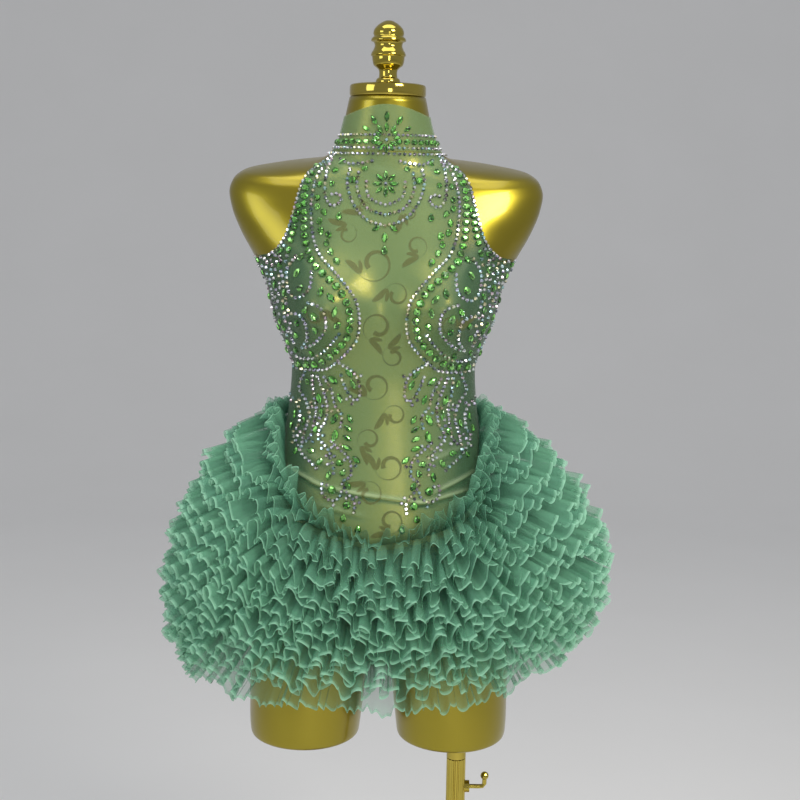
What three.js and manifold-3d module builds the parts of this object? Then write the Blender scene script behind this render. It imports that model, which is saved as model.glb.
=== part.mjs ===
// Mesh stage bodysuit with a high halter collar and a ruffled tulle skirt, on a gold dress form.
// The form is limbless: a neck, shoulder ends and two thigh stubs, on a pole with a round base.
// Millimetres, +Z up. The origin is the centre of the base plate's underside.
// The front faces -Y, and +X is on the right when it is seen from the front.
import * as THREE from "three";
import { mergeVertices } from "three/addons/utils/BufferGeometryUtils.js";
import Module from "manifold-3d";

const wasm = await Module();
wasm.setup();

// Clearance between pieces that touch, and between cloth and the form
const SEAM = 0.3;
const CLOTH_LIFT = 0.4;
const MESH_WALL = 1.0;
const TULLE_WALL = 1.5;

// The form's torso: a row for each section. half is the half width, front and back are the
// depths before and behind the middle, power is the squareness, tilt is the rise towards the back.
const TORSO_COLUMNS = 40;
const TORSO_ROWS = [
  { z: 648, half: 52, front: 32, back: 46, power: 2.0, tilt: 0 },
  { z: 660, half: 118, front: 62, back: 82, power: 2.0, tilt: 0 },
  { z: 682, half: 152, front: 83, back: 105, power: 2.1, tilt: 0 },
  { z: 706, half: 160, front: 91, back: 113, power: 2.2, tilt: 0 },
  { z: 740, half: 163, front: 97, back: 119, power: 2.3, tilt: 0 },
  { z: 778, half: 163, front: 99, back: 119, power: 2.3, tilt: 0 },
  { z: 815, half: 154, front: 100, back: 112, power: 2.3, tilt: 0 },
  { z: 850, half: 140, front: 98, back: 101, power: 2.25, tilt: 0 },
  { z: 888, half: 127, front: 94, back: 90, power: 2.2, tilt: 0 },
  { z: 964, half: 111, front: 86, back: 76, power: 2.2, tilt: 0 },
  { z: 1008, half: 108, front: 85, back: 75, power: 2.2, tilt: 0 },
  { z: 1030, half: 114, front: 86, back: 76, power: 2.2, tilt: 0 },
  { z: 1050, half: 122, front: 87, back: 78, power: 2.2, tilt: 0 },
  { z: 1068, half: 129, front: 88, back: 81, power: 2.2, tilt: 0 },
  { z: 1086, half: 134, front: 88, back: 83, power: 2.2, tilt: 0 },
  { z: 1105, half: 138, front: 87, back: 86, power: 2.2, tilt: 0.02 },
  { z: 1124, half: 146, front: 86, back: 88, power: 2.25, tilt: 0.04 },
  { z: 1144, half: 157, front: 83, back: 89, power: 2.3, tilt: 0.06 },
  { z: 1170, half: 171, front: 77, back: 88, power: 2.35, tilt: 0.1 },
  { z: 1196, half: 181, front: 69, back: 83, power: 2.4, tilt: 0.14 },
  { z: 1214, half: 184, front: 62, back: 77, power: 2.4, tilt: 0.18 },
  { z: 1227, half: 180, front: 57, back: 71, power: 2.4, tilt: 0.2 },
  { z: 1236, half: 169, front: 53, back: 66, power: 2.35, tilt: 0.22 },
  { z: 1243, half: 136, front: 50.5, back: 61, power: 2.2, tilt: 0.22 },
  { z: 1251, half: 80, front: 48, back: 55, power: 2.0, tilt: 0.2 },
  { z: 1260, half: 64, front: 47, back: 52, power: 2.0, tilt: 0.17 },
  { z: 1275, half: 56, front: 46, back: 49, power: 2.0, tilt: 0.12 },
  { z: 1323, half: 44.5, front: 43, back: 44, power: 2.0, tilt: 0 },
];

// Two smooth bust mounds on the front of the torso
const BUST = { x: 74, z: 1086, height: 46, spread: 36, fade: 40 };

// One thigh stub: a row for each section, centred at +-centre
const LEG_COLUMNS = 20;
const LEG_ROWS = [
  { z: 553, centre: 90, half: 62, front: 67, back: 76 },
  { z: 555, centre: 90, half: 65.5, front: 70.5, back: 79.5 },
  { z: 560, centre: 90, half: 67, front: 72, back: 81 },
  { z: 604, centre: 88, half: 70, front: 75, back: 86 },
  { z: 652, centre: 86, half: 72, front: 74, back: 89 },
  { z: 700, centre: 83, half: 71, front: 70, back: 88 },
  { z: 740, centre: 80, half: 66, front: 66, back: 84 },
];

// Neck cap and turned finial
const NECK_CAP = { z: 1323 + SEAM, height: 14.5, radius: 44.5, edge: 2 };
const FINIAL_Z = NECK_CAP.z + NECK_CAP.height + SEAM;
const FINIAL_ROWS = [
  { rise: 0, radius: 14.0 },
  { rise: 3, radius: 14.3 },
  { rise: 6, radius: 13.4 },
  { rise: 9, radius: 10.6 },
  { rise: 16, radius: 10.6 },
  { rise: 19, radius: 13.0 },
  { rise: 23, radius: 17.1 },
  { rise: 32, radius: 19.2 },
  { rise: 34, radius: 20.3 },
  { rise: 40, radius: 17.5 },
  { rise: 44, radius: 16.2 },
  { rise: 49, radius: 19.6 },
  { rise: 51, radius: 20.4 },
  { rise: 55, radius: 17.6 },
  { rise: 58, radius: 17.8 },
  { rise: 62, radius: 16.6 },
  { rise: 67, radius: 12.7 },
  { rise: 71, radius: 6.2 },
];
const FINIAL_HEIGHT = 73;

// Stand: a round plate, a fluted tube off its centre, a rod that slides in it and a clamp lever
const BASE = { radius: 170, thickness: 8, edge: 2, bossRadius: 21, bossHeight: 22 };
const POLE_X = 98;
const TUBE = { top: 520, ridge: 11.8, groove: 11.0, bore: 9.9, ribs: 16 };
const ROD = { radius: 9.6, bottom: 210, top: 700, sleeveRadius: 12 };
const SOCKET_CLEARANCE = 0.3;
const CLAMP = { z: 483, bossRadius: 7.5, bossReach: 17, hole: 3.1 };
const LEVER = { shaft: 2.8, reach: 36, bend: 5, rise: 14, ball: 5.2 };

// Bodice outline, right half, as seen from the front: the armhole from the collar to the side
const COLLAR_SEAM_Z = 1260;
const ARMHOLE = [
  { x: 60, z: COLLAR_SEAM_Z },
  { x: 68, z: 1253 },
  { x: 78, z: 1245 },
  { x: 90, z: 1236 },
  { x: 97, z: 1222 },
  { x: 101, z: 1206 },
  { x: 105, z: 1190 },
  { x: 109, z: 1176 },
  { x: 114, z: 1162 },
  { x: 122, z: 1150 },
  { x: 134, z: 1141 },
  { x: 200, z: 1132 },
];
const LEG_OPENING = [
  { x: 200, z: 716 },
  { x: 160, z: 713 },
  { x: 122, z: 704 },
  { x: 84, z: 692 },
  { x: 52, z: 678 },
  { x: 30, z: 664 },
  { x: 16, z: 645 },
  { x: 16, z: 630 },
];
// The collar's top rises in an arch in front, and neckRadius is the neck's where it closes.
const COLLAR = { sideTop: 1301, frontTop: 1313, halfWidth: 80, archHalf: 46, neckRadius: 47 };
const TAB = { half: 15, bottom: 1268, top: 1294, snapX: 8, snapRadius: 4.5, snapHeight: 1.8 };

// The skirt: a row for each ruffle, from the waist down. root is its seam on the bodice, and the
// out and z pairs give its hem at the left, right, front and back. wave is half its wave height.
const RUFFLE_WAVES = 24;
const STEPS_PER_WAVE = 4;
const RUFFLE_ROWS = [
  { rootSide: 948, rootFront: 814, leftOut: 178, leftZ: 926, rightOut: 174, rightZ: 934,
    frontOut: 158, frontZ: 800, backOut: 168, backZ: 926, wave: 7 },
  { rootSide: 916, rootFront: 799, leftOut: 211, leftZ: 890, rightOut: 210, rightZ: 900,
    frontOut: 180, frontZ: 780, backOut: 204, backZ: 890, wave: 8 },
  { rootSide: 884, rootFront: 784, leftOut: 235, leftZ: 848, rightOut: 242, rightZ: 858,
    frontOut: 194, frontZ: 760, backOut: 232, backZ: 848, wave: 9 },
  { rootSide: 852, rootFront: 769, leftOut: 252, leftZ: 806, rightOut: 268, rightZ: 818,
    frontOut: 203, frontZ: 740, backOut: 252, backZ: 806, wave: 9 },
  { rootSide: 821, rootFront: 754, leftOut: 261, leftZ: 765, rightOut: 279, rightZ: 779,
    frontOut: 207, frontZ: 719, backOut: 262, backZ: 765, wave: 9 },
  { rootSide: 790, rootFront: 740, leftOut: 263, leftZ: 724, rightOut: 274, rightZ: 742,
    frontOut: 210, frontZ: 697, backOut: 264, backZ: 724, wave: 9 },
  { rootSide: 760, rootFront: 726, leftOut: 256, leftZ: 684, rightOut: 256, rightZ: 706,
    frontOut: 208, frontZ: 674, backOut: 258, backZ: 686, wave: 9 },
  { rootSide: 732, rootFront: 713, leftOut: 238, leftZ: 650, rightOut: 232, rightZ: 672,
    frontOut: 200, frontZ: 651, backOut: 240, backZ: 654, wave: 8 },
];
// The deep fold at the front right, where the skirt parts
const FOLD = { angle: -38 * Math.PI / 180, width: 0.13, depth: 16 };

const COLOURS = {
  form: 0xb0a03a, chrome: 0x8c8228, mesh: 0x8ca06e, tulle: 0x69a082, snap: 0xb4b4aa,
};

function material(colour, roughness, metalness) {
  return new THREE.MeshStandardMaterial({ color: colour, roughness, metalness });
}

const MATERIALS = {
  form: material(COLOURS.form, 0.3, 0.6),
  chrome: material(COLOURS.chrome, 0.12, 1.0),
  mesh: material(COLOURS.mesh, 0.8, 0),
  tulle: material(COLOURS.tulle, 0.85, 0),
  snap: material(COLOURS.snap, 0.3, 0.9),
};

// Solids

function toSolid(geometry) {
  const bare = geometry.clone();
  bare.deleteAttribute("normal");
  bare.deleteAttribute("uv");
  const merged = mergeVertices(bare, 1e-4);
  return new wasm.Manifold(new wasm.Mesh({
    numProp: 3,
    vertProperties: new Float32Array(merged.attributes.position.array),
    triVerts: new Uint32Array(merged.index.array),
  }));
}

function toGeometry(solid) {
  const mesh = solid.getMesh();
  const geometry = new THREE.BufferGeometry();
  geometry.setAttribute("position", new THREE.BufferAttribute(mesh.vertProperties, 3));
  geometry.setIndex(new THREE.BufferAttribute(mesh.triVerts, 1));
  return geometry;
}

// A closed geometry from rings of equal length, each a list of Vector3, with a fan at each end
function loftRings(rings) {
  const columns = rings[0].length;
  const points = rings.flat();
  const faces = [];
  for (let row = 0; row < rings.length - 1; row++) {
    for (let column = 0; column < columns; column++) {
      const next = (column + 1) % columns;
      const a = row * columns + column;
      const b = row * columns + next;
      const c = a + columns;
      const d = b + columns;
      faces.push(a, b, d, a, d, c);
    }
  }
  const ends = [{ ring: 0, turn: -1 }, { ring: rings.length - 1, turn: 1 }];
  for (const end of ends) {
    const centre = new THREE.Vector3();
    rings[end.ring].forEach((point) => centre.addScaledVector(point, 1 / columns));
    points.push(centre);
    for (let column = 0; column < columns; column++) {
      const a = end.ring * columns + column;
      const b = end.ring * columns + (column + 1) % columns;
      faces.push(points.length - 1, ...(end.turn > 0 ? [a, b] : [b, a]));
    }
  }
  return indexed(points, faces);
}

function indexed(points, faces) {
  const geometry = new THREE.BufferGeometry().setFromPoints(points);
  geometry.setIndex(faces);
  return geometry;
}

function box(x0, x1, y0, y1, z0, z1) {
  const geometry = new THREE.BoxGeometry(x1 - x0, y1 - y0, z1 - z0);
  geometry.translate((x0 + x1) / 2, (y0 + y1) / 2, (z0 + z1) / 2);
  return toSolid(geometry);
}

// An outline in x and z, extruded right through from front to back
function throughCutter(outline) {
  const reach = 400;
  const shape = new THREE.Shape(outline.map((point) => new THREE.Vector2(point.x, point.z)));
  const geometry = new THREE.ExtrudeGeometry(shape, { depth: 2 * reach, bevelEnabled: false });
  geometry.rotateX(Math.PI / 2);
  geometry.translate(0, reach, 0);
  return toSolid(geometry);
}

function uprightCylinder(x, radius, z0, z1, sides) {
  const geometry = new THREE.CylinderGeometry(radius, radius, z1 - z0, sides);
  geometry.rotateX(Math.PI / 2);
  geometry.translate(x, 0, (z0 + z1) / 2);
  return toSolid(geometry);
}

// The torso's surface

function signedPower(value, power) {
  return Math.sign(value) * Math.abs(value) ** power;
}

function bustRise(x, y, z) {
  const fade = Math.min(1, Math.max(0, -y / BUST.fade));
  const fall = (centre) => Math.exp(-((x - centre) ** 2 + (z - BUST.z) ** 2) / (2 * BUST.spread ** 2));
  return BUST.height * fade * (fall(BUST.x) + fall(-BUST.x));
}

function rowPoint(row, angle) {
  const x = row.half * signedPower(Math.cos(angle), 2 / row.power);
  const side = Math.sin(angle);
  const y = (side < 0 ? row.front : row.back) * signedPower(side, 2 / row.power);
  return new THREE.Vector3(x, y - bustRise(x, y, row.z), row.z + row.tilt * y);
}

// A point between two rows, at the table's height z
function torsoPoint(angle, z) {
  const last = TORSO_ROWS.length - 2;
  const found = TORSO_ROWS.findIndex((row, i) => i <= last && z <= TORSO_ROWS[i + 1].z);
  const index = found < 0 ? last : found;
  const low = TORSO_ROWS[index];
  const high = TORSO_ROWS[index + 1];
  const share = (z - low.z) / (high.z - low.z);
  return rowPoint(low, angle).lerp(rowPoint(high, angle), share);
}

// How far apart the points lie that give the torso's normal
const NORMAL_STEP = { turn: 0.03, rise: 2 };

function torsoNormal(angle, z) {
  const lowest = TORSO_ROWS[0].z;
  const highest = TORSO_ROWS.at(-1).z;
  const { turn, rise } = NORMAL_STEP;
  const around = torsoPoint(angle + turn, z).sub(torsoPoint(angle - turn, z));
  const up = torsoPoint(angle, Math.min(z + rise, highest)).sub(torsoPoint(angle, Math.max(z - rise, lowest)));
  return around.cross(up).normalize();
}

function liftedPoint(angle, z, lift) {
  return torsoPoint(angle, z).addScaledVector(torsoNormal(angle, z), lift);
}

// The torso as one closed skin, moved out by lift
function torsoSkin(lift) {
  const rings = TORSO_ROWS.map((row) => {
    const ring = [];
    for (let column = 0; column < TORSO_COLUMNS; column++) {
      ring.push(liftedPoint(2 * Math.PI * column / TORSO_COLUMNS, row.z, lift));
    }
    return ring;
  });
  rings.at(-1).forEach((point) => { point.z = TORSO_ROWS.at(-1).z; });
  return toSolid(loftRings(rings));
}

function legSkin(side, lift) {
  const rings = LEG_ROWS.map((row, index) => {
    const ring = [];
    const drop = index === 0 ? lift : 0;
    for (let column = 0; column < LEG_COLUMNS; column++) {
      const angle = 2 * Math.PI * column / LEG_COLUMNS;
      const depth = Math.sin(angle) < 0 ? row.front : row.back;
      ring.push(new THREE.Vector3(
        side * row.centre + (row.half + lift) * Math.cos(angle),
        (depth + lift) * Math.sin(angle),
        row.z - drop,
      ));
    }
    return ring;
  });
  return toSolid(loftRings(rings));
}

// The form and its stand

function formTorso() {
  const legs = legSkin(-1, 0).add(legSkin(1, 0));
  const socketTop = ROD.top + SEAM;
  const socket = uprightCylinder(POLE_X, ROD.radius + SOCKET_CLEARANCE, LEG_ROWS[0].z - 5, socketTop, 20);
  return toGeometry(torsoSkin(0).add(legs).subtract(socket));
}

function neckCap() {
  const { height, radius, edge } = NECK_CAP;
  const profile = [[0, 0], [radius - edge, 0], [radius, edge], [radius, height - edge],
    [radius - edge, height], [0, height]];
  return turned(profile, 32, 0, NECK_CAP.z);
}

function finial() {
  const profile = [[0, 0], ...FINIAL_ROWS.map((row) => [row.radius, row.rise]), [0, FINIAL_HEIGHT]];
  return turned(profile, 14, 0, FINIAL_Z);
}

// A profile of [radius, height] pairs turned about an upright axis
function turned(profile, sides, x, z) {
  const points = profile.map(([radius, height]) => new THREE.Vector2(radius, height));
  const geometry = new THREE.LatheGeometry(points, sides);
  geometry.rotateX(Math.PI / 2);
  geometry.translate(x, 0, z);
  return geometry;
}

function basePlate() {
  const { radius, thickness, edge, bossRadius, bossHeight } = BASE;
  const plate = turned([[0, 0], [radius, 0], [radius, thickness - edge], [radius - edge, thickness],
    [0, thickness]], 40, 0, 0);
  const boss = turned([[0, 0], [bossRadius, 0], [bossRadius, bossHeight - edge],
    [bossRadius - edge, bossHeight], [0, bossHeight]], 20, POLE_X, 1);
  const hole = uprightCylinder(POLE_X, TUBE.ridge + SEAM, thickness, bossHeight + edge, 20);
  return toGeometry(toSolid(plate).add(toSolid(boss)).subtract(hole));
}

function poleTube() {
  const outline = [];
  const pitch = 2 * Math.PI / TUBE.ribs;
  for (let rib = 0; rib < TUBE.ribs; rib++) {
    const steps = [
      { turn: -0.22, radius: TUBE.ridge },
      { turn: 0.22, radius: TUBE.ridge },
      { turn: 0.36, radius: TUBE.groove },
      { turn: 0.64, radius: TUBE.groove },
    ];
    for (const step of steps) {
      const angle = (rib + step.turn) * pitch;
      outline.push(new THREE.Vector2(step.radius * Math.cos(angle), step.radius * Math.sin(angle)));
    }
  }
  const shape = new THREE.Shape(outline);
  const bore = new THREE.Path();
  bore.absarc(0, 0, TUBE.bore, 0, 2 * Math.PI, true);
  shape.holes.push(bore);
  const bottom = BASE.thickness + SEAM;
  const options = { depth: TUBE.top - bottom, bevelEnabled: false, curveSegments: 20 };
  const geometry = new THREE.ExtrudeGeometry(shape, options);
  geometry.translate(POLE_X, 0, bottom);
  const bossInside = TUBE.bore + 0.6;
  const boss = sidewaysCylinder(CLAMP.bossRadius, bossInside, CLAMP.bossReach, 16);
  const hole = sidewaysCylinder(CLAMP.hole, 0, CLAMP.bossReach + 1, 10);
  return toGeometry(toSolid(geometry).add(boss).subtract(hole));
}

// A cylinder along X at the clamp's height, from and to distances from the pole's axis
function sidewaysCylinder(radius, from, to, sides) {
  const geometry = new THREE.CylinderGeometry(radius, radius, to - from, sides);
  geometry.rotateZ(-Math.PI / 2);
  geometry.translate(POLE_X + (from + to) / 2, 0, CLAMP.z);
  return toSolid(geometry);
}

function poleRod() {
  const sleeveBottom = TUBE.top + SEAM;
  const sleeveTop = LEG_ROWS[0].z - SEAM;
  const profile = [[0, ROD.bottom], [ROD.radius, ROD.bottom], [ROD.radius, sleeveBottom],
    [ROD.sleeveRadius, sleeveBottom], [ROD.sleeveRadius, sleeveTop], [ROD.radius, sleeveTop],
    [ROD.radius, ROD.top], [0, ROD.top]];
  return turned(profile, 20, POLE_X, 0);
}

function clampLever() {
  const { shaft, reach, bend, rise, ball } = LEVER;
  const start = POLE_X + ROD.radius + SEAM;
  const corner = POLE_X + reach;
  const path = new THREE.CurvePath();
  const at = (x, z) => new THREE.Vector3(x, 0, CLAMP.z + z);
  path.add(new THREE.LineCurve3(at(start, 0), at(corner - bend, 0)));
  path.add(new THREE.QuadraticBezierCurve3(at(corner - bend, 0), at(corner, 0), at(corner, bend)));
  path.add(new THREE.LineCurve3(at(corner, bend), at(corner, rise - ball / 2)));
  const circle = new THREE.Shape();
  circle.absarc(0, 0, shaft, 0, 2 * Math.PI, false);
  const options = { steps: 9, curveSegments: 4, bevelEnabled: false, extrudePath: path };
  const arm = toSolid(new THREE.ExtrudeGeometry(circle, options));
  const knob = new THREE.SphereGeometry(ball, 12, 8);
  knob.rotateX(Math.PI / 2);
  knob.translate(corner, 0, CLAMP.z + rise);
  return toGeometry(arm.add(toSolid(knob)));
}

// The bodice: a wall on the torso, cut to its pattern outline and parted at its seams

const meshWall = torsoSkin(CLOTH_LIFT + MESH_WALL).subtract(torsoSkin(CLOTH_LIFT));

function mirrored(half) {
  const left = half.map((point) => ({ x: -point.x, z: point.z })).reverse();
  return [...half, ...left];
}

function bodiceWall() {
  const right = [...ARMHOLE, ...LEG_OPENING];
  right[0] = { x: ARMHOLE[0].x, z: COLLAR_SEAM_Z - SEAM / 2 };
  const legs = legSkin(-1, CLOTH_LIFT).add(legSkin(1, CLOTH_LIFT));
  return meshWall.intersect(throughCutter(mirrored(right))).subtract(legs);
}

const HALF_SEAM = SEAM / 2;
const FAR = 500;
const bodice = bodiceWall();

function frontPanel() {
  return toGeometry(bodice.intersect(box(-FAR, FAR, -FAR, -HALF_SEAM, 0, 3 * FAR)));
}

function backPanel(side) {
  const inner = side * HALF_SEAM;
  const outer = side * FAR;
  const [x0, x1] = side < 0 ? [outer, inner] : [inner, outer];
  return toGeometry(bodice.intersect(box(x0, x1, HALF_SEAM, FAR, 0, 3 * FAR)));
}

function collar() {
  const bottom = COLLAR_SEAM_Z + HALF_SEAM;
  const top = [];
  const steps = 8;
  for (let step = 0; step <= steps; step++) {
    const x = COLLAR.halfWidth * (1 - 2 * step / steps);
    const share = Math.abs(x) < COLLAR.archHalf ? Math.cos(x * Math.PI / 2 / COLLAR.archHalf) : 0;
    top.push({ x, z: COLLAR.sideTop + (COLLAR.frontTop - COLLAR.sideTop) * share });
  }
  const outline = [{ x: -COLLAR.halfWidth, z: bottom }, { x: COLLAR.halfWidth, z: bottom }, ...top];
  const opening = box(-HALF_SEAM, HALF_SEAM, 0, FAR, 0, 3 * FAR);
  return toGeometry(meshWall.intersect(throughCutter(outline)).subtract(opening));
}

// A small tab laps over the collar's ends at the back
const TAB_LIFT = CLOTH_LIFT + MESH_WALL + SEAM;

function collarTab() {
  const wall = torsoSkin(TAB_LIFT + MESH_WALL).subtract(torsoSkin(TAB_LIFT));
  return toGeometry(wall.intersect(box(-TAB.half, TAB.half, 0, FAR, TAB.bottom, TAB.top)));
}

function collarSnap(side) {
  const z = (TAB.bottom + TAB.top) / 2;
  const angle = Math.PI / 2 - side * TAB.snapX / COLLAR.neckRadius;
  const seat = liftedPoint(angle, z, TAB_LIFT + MESH_WALL + SEAM);
  const { snapRadius: radius, snapHeight: height } = TAB;
  const points = [[0, 0], [radius, 0], [radius, height / 2], [radius * 0.7, height], [0, height]];
  const geometry = new THREE.LatheGeometry(points.map(([r, h]) => new THREE.Vector2(r, h)), 12);
  const turn = new THREE.Quaternion().setFromUnitVectors(new THREE.Vector3(0, 1, 0), torsoNormal(angle, z));
  geometry.applyQuaternion(turn);
  geometry.translate(seat.x, seat.y, seat.z);
  return geometry;
}

// The skirt's ruffles

// How far a ruffle's seam has risen from the centre front (0) to the side (1)
function seamRise(angle) {
  const c = Math.abs(Math.cos(angle));
  return Math.sin(angle) < 0 ? 0.25 * c + 0.75 * c ** 5 : 1;
}

function rootPoint(row, angle) {
  const z = row.rootFront + (row.rootSide - row.rootFront) * seamRise(angle);
  return liftedPoint(angle, z, CLOTH_LIFT + MESH_WALL + SEAM + TULLE_WALL / 2);
}

function hemPoint(row, angle) {
  const c = Math.cos(angle);
  const s = Math.sin(angle);
  const away = (angle - FOLD.angle + 3 * Math.PI) % (2 * Math.PI) - Math.PI;
  const fold = FOLD.depth * Math.exp(-((away / FOLD.width) ** 2) / 2);
  const side = c < 0 ? { out: row.leftOut, z: row.leftZ } : { out: row.rightOut, z: row.rightZ };
  const end = s < 0 ? { out: row.frontOut, z: row.frontZ } : { out: row.backOut, z: row.backZ };
  return new THREE.Vector3((side.out - fold) * c, (end.out - fold) * s, side.z * c * c + end.z * s * s);
}

// A strip whose ends meet in a seam at the centre back
function ruffle(row) {
  const columns = RUFFLE_WAVES * STEPS_PER_WAVE;
  const points = [];
  for (let column = 0; column <= columns; column++) {
    const turn = 2 * Math.PI * column / columns;
    const seam = SEAM / 2 / row.backOut * (1 - 2 * column / columns);
    const angle = Math.PI / 2 + turn + seam;
    const root = rootPoint(row, angle);
    const hem = hemPoint(row, angle);
    const around = new THREE.Vector3(-Math.sin(angle), Math.cos(angle), 0);
    const across = hem.clone().sub(root).cross(around).normalize();
    const wave = row.wave * Math.sin(RUFFLE_WAVES * turn + Math.PI / 4);
    hem.addScaledVector(across, wave);
    for (const middle of [root, hem]) {
      points.push(middle.clone().addScaledVector(across, TULLE_WALL / 2));
      points.push(middle.clone().addScaledVector(across, -TULLE_WALL / 2));
    }
  }
  // Each column holds root top, root bottom, hem top and hem bottom. The top and the bottom are split
  // along the same diagonal, so that the wall keeps its thickness. Faces run from the centre front.
  const sides = [[1, 0], [0, 2], [2, 3]];
  const end = 4 * columns;
  const faces = [];
  for (let step = 0; step < columns; step++) {
    const here = 4 * ((step + columns / 2) % columns);
    const there = here + 4;
    for (const [a, b] of sides) {
      faces.push(here + a, here + b, there + b, here + a, there + b, there + a);
    }
    faces.push(here + 3, here + 1, there + 3, here + 1, there + 1, there + 3);
  }
  faces.push(end, end + 2, end + 3, end, end + 3, end + 1, 0, 1, 3, 0, 3, 2);
  return indexed(points, faces);
}

// The scene

function named(name, geometry, look) {
  const mesh = new THREE.Mesh(geometry, look);
  mesh.name = name;
  return mesh;
}

const stand = new THREE.Group();
stand.add(
  named("base_plate", basePlate(), MATERIALS.chrome),
  named("pole_tube", poleTube(), MATERIALS.chrome),
  named("pole_rod", poleRod(), MATERIALS.chrome),
  named("clamp_lever", clampLever(), MATERIALS.chrome),
);

const form = new THREE.Group();
form.add(
  named("form_torso", formTorso(), MATERIALS.form),
  named("neck_cap", neckCap(), MATERIALS.chrome),
  named("finial", finial(), MATERIALS.chrome),
);

const garment = new THREE.Group();
garment.add(
  named("front_panel", frontPanel(), MATERIALS.mesh),
  named("back_left", backPanel(-1), MATERIALS.mesh),
  named("back_right", backPanel(1), MATERIALS.mesh),
  named("collar", collar(), MATERIALS.mesh),
  named("collar_tab", collarTab(), MATERIALS.mesh),
  named("collar_snap_left", collarSnap(-1), MATERIALS.snap),
  named("collar_snap_right", collarSnap(1), MATERIALS.snap),
);
RUFFLE_ROWS.forEach((row, index) => {
  garment.add(named(`ruffle_${index + 1}`, ruffle(row), MATERIALS.tulle));
});

const object = new THREE.Group();
object.add(stand, form, garment);
export default object;
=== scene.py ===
"""Dresses the mesh stage bodysuit, its ruffled skirt and its gold form. Metres, +Z up, the front faces -Y.
Tables of the body, the cloth and the stones are in millimetres, and MM turns them into metres."""
import math
import numpy as np
import bpy
from mathutils import Matrix, Vector


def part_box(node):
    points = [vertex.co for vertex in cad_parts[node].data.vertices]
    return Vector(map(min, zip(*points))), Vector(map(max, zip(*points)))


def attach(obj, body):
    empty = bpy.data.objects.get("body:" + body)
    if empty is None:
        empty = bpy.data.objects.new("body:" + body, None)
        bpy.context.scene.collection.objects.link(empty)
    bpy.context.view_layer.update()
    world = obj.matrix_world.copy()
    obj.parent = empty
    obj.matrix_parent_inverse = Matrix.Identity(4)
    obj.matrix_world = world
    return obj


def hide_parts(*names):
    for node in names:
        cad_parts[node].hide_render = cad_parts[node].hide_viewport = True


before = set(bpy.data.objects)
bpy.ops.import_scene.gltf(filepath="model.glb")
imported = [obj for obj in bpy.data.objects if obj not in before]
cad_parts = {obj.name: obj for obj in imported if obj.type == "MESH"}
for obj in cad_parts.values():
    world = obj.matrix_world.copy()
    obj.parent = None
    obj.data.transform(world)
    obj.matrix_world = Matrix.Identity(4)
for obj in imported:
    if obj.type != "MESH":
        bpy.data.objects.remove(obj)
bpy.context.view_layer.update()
MM = 0.001
PI = math.pi
DRESSED = "dressed_form"
random = np.random.default_rng(7)

# The body: its sections, from the crotch to the neck

SECTIONS = np.array([
    # z, half width, front, back, power, tilt
    (648, 52, 32, 46, 2.0, 0), (660, 118, 62, 82, 2.0, 0), (682, 152, 83, 105, 2.1, 0),
    (706, 160, 91, 113, 2.2, 0), (740, 163, 97, 119, 2.3, 0), (778, 163, 99, 119, 2.3, 0),
    (815, 154, 100, 112, 2.3, 0), (850, 140, 98, 101, 2.25, 0), (888, 127, 94, 90, 2.2, 0),
    (964, 111, 86, 76, 2.2, 0), (1008, 108, 85, 75, 2.2, 0), (1030, 114, 86, 76, 2.2, 0),
    (1050, 122, 87, 78, 2.2, 0), (1068, 129, 88, 81, 2.2, 0), (1086, 134, 88, 83, 2.2, 0),
    (1105, 138, 87, 86, 2.2, 0.02), (1124, 146, 86, 88, 2.25, 0.04), (1144, 157, 83, 89, 2.3, 0.06),
    (1170, 171, 77, 88, 2.35, 0.1), (1196, 181, 69, 83, 2.4, 0.14), (1214, 184, 62, 77, 2.4, 0.18),
    (1227, 180, 57, 71, 2.4, 0.2), (1236, 169, 53, 66, 2.35, 0.22), (1243, 136, 50.5, 61, 2.2, 0.22),
    (1251, 80, 48, 55, 2.0, 0.2), (1260, 64, 47, 52, 2.0, 0.17), (1275, 56, 46, 49, 2.0, 0.12),
    (1323, 44.5, 43, 44, 2.0, 0),
])
BUST = dict(x=74, z=1086, height=46, spread=36, fade=40)
LEG_SECTIONS = np.array([
    # z, centre, half width, front, back
    (553, 90, 60, 65, 74), (553.6, 90, 63.5, 68.5, 77.5), (555.5, 90, 65.8, 70.8, 79.8),
    (560, 90, 67, 72, 81), (604, 88, 70, 75, 86), (652, 86, 72, 74, 89), (700, 83, 71, 70, 88),
    (740, 80, 66, 66, 84),
])


def slopes(x, y):
    """Slopes of a smooth curve through each column that never overshoots a row."""
    rise = np.diff(y, axis=0) / np.diff(x)[:, None]
    a, b = rise[:-1], rise[1:]
    same = a * b > 0
    inner = np.where(same, 2 * a * b / np.where(same, a + b, 1), 0)
    return np.vstack([rise[:1], inner, rise[-1:]])


def curve_at(table, z):
    """The other columns of a table, at z in its first column."""
    x, y = table[:, 0], table[:, 1:]
    m = slopes(x, y)
    z = np.clip(np.asarray(z, float), x[0], x[-1])
    i = np.clip(np.searchsorted(x, z, side="right") - 1, 0, len(x) - 2)
    h = (x[i + 1] - x[i])[..., None]
    t = (z - x[i])[..., None] / h
    return ((2 * t ** 3 - 3 * t ** 2 + 1) * y[i] + (t ** 3 - 2 * t ** 2 + t) * h * m[i]
            + (3 * t ** 2 - 2 * t ** 3) * y[i + 1] + (t ** 3 - t ** 2) * h * m[i + 1])


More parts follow.
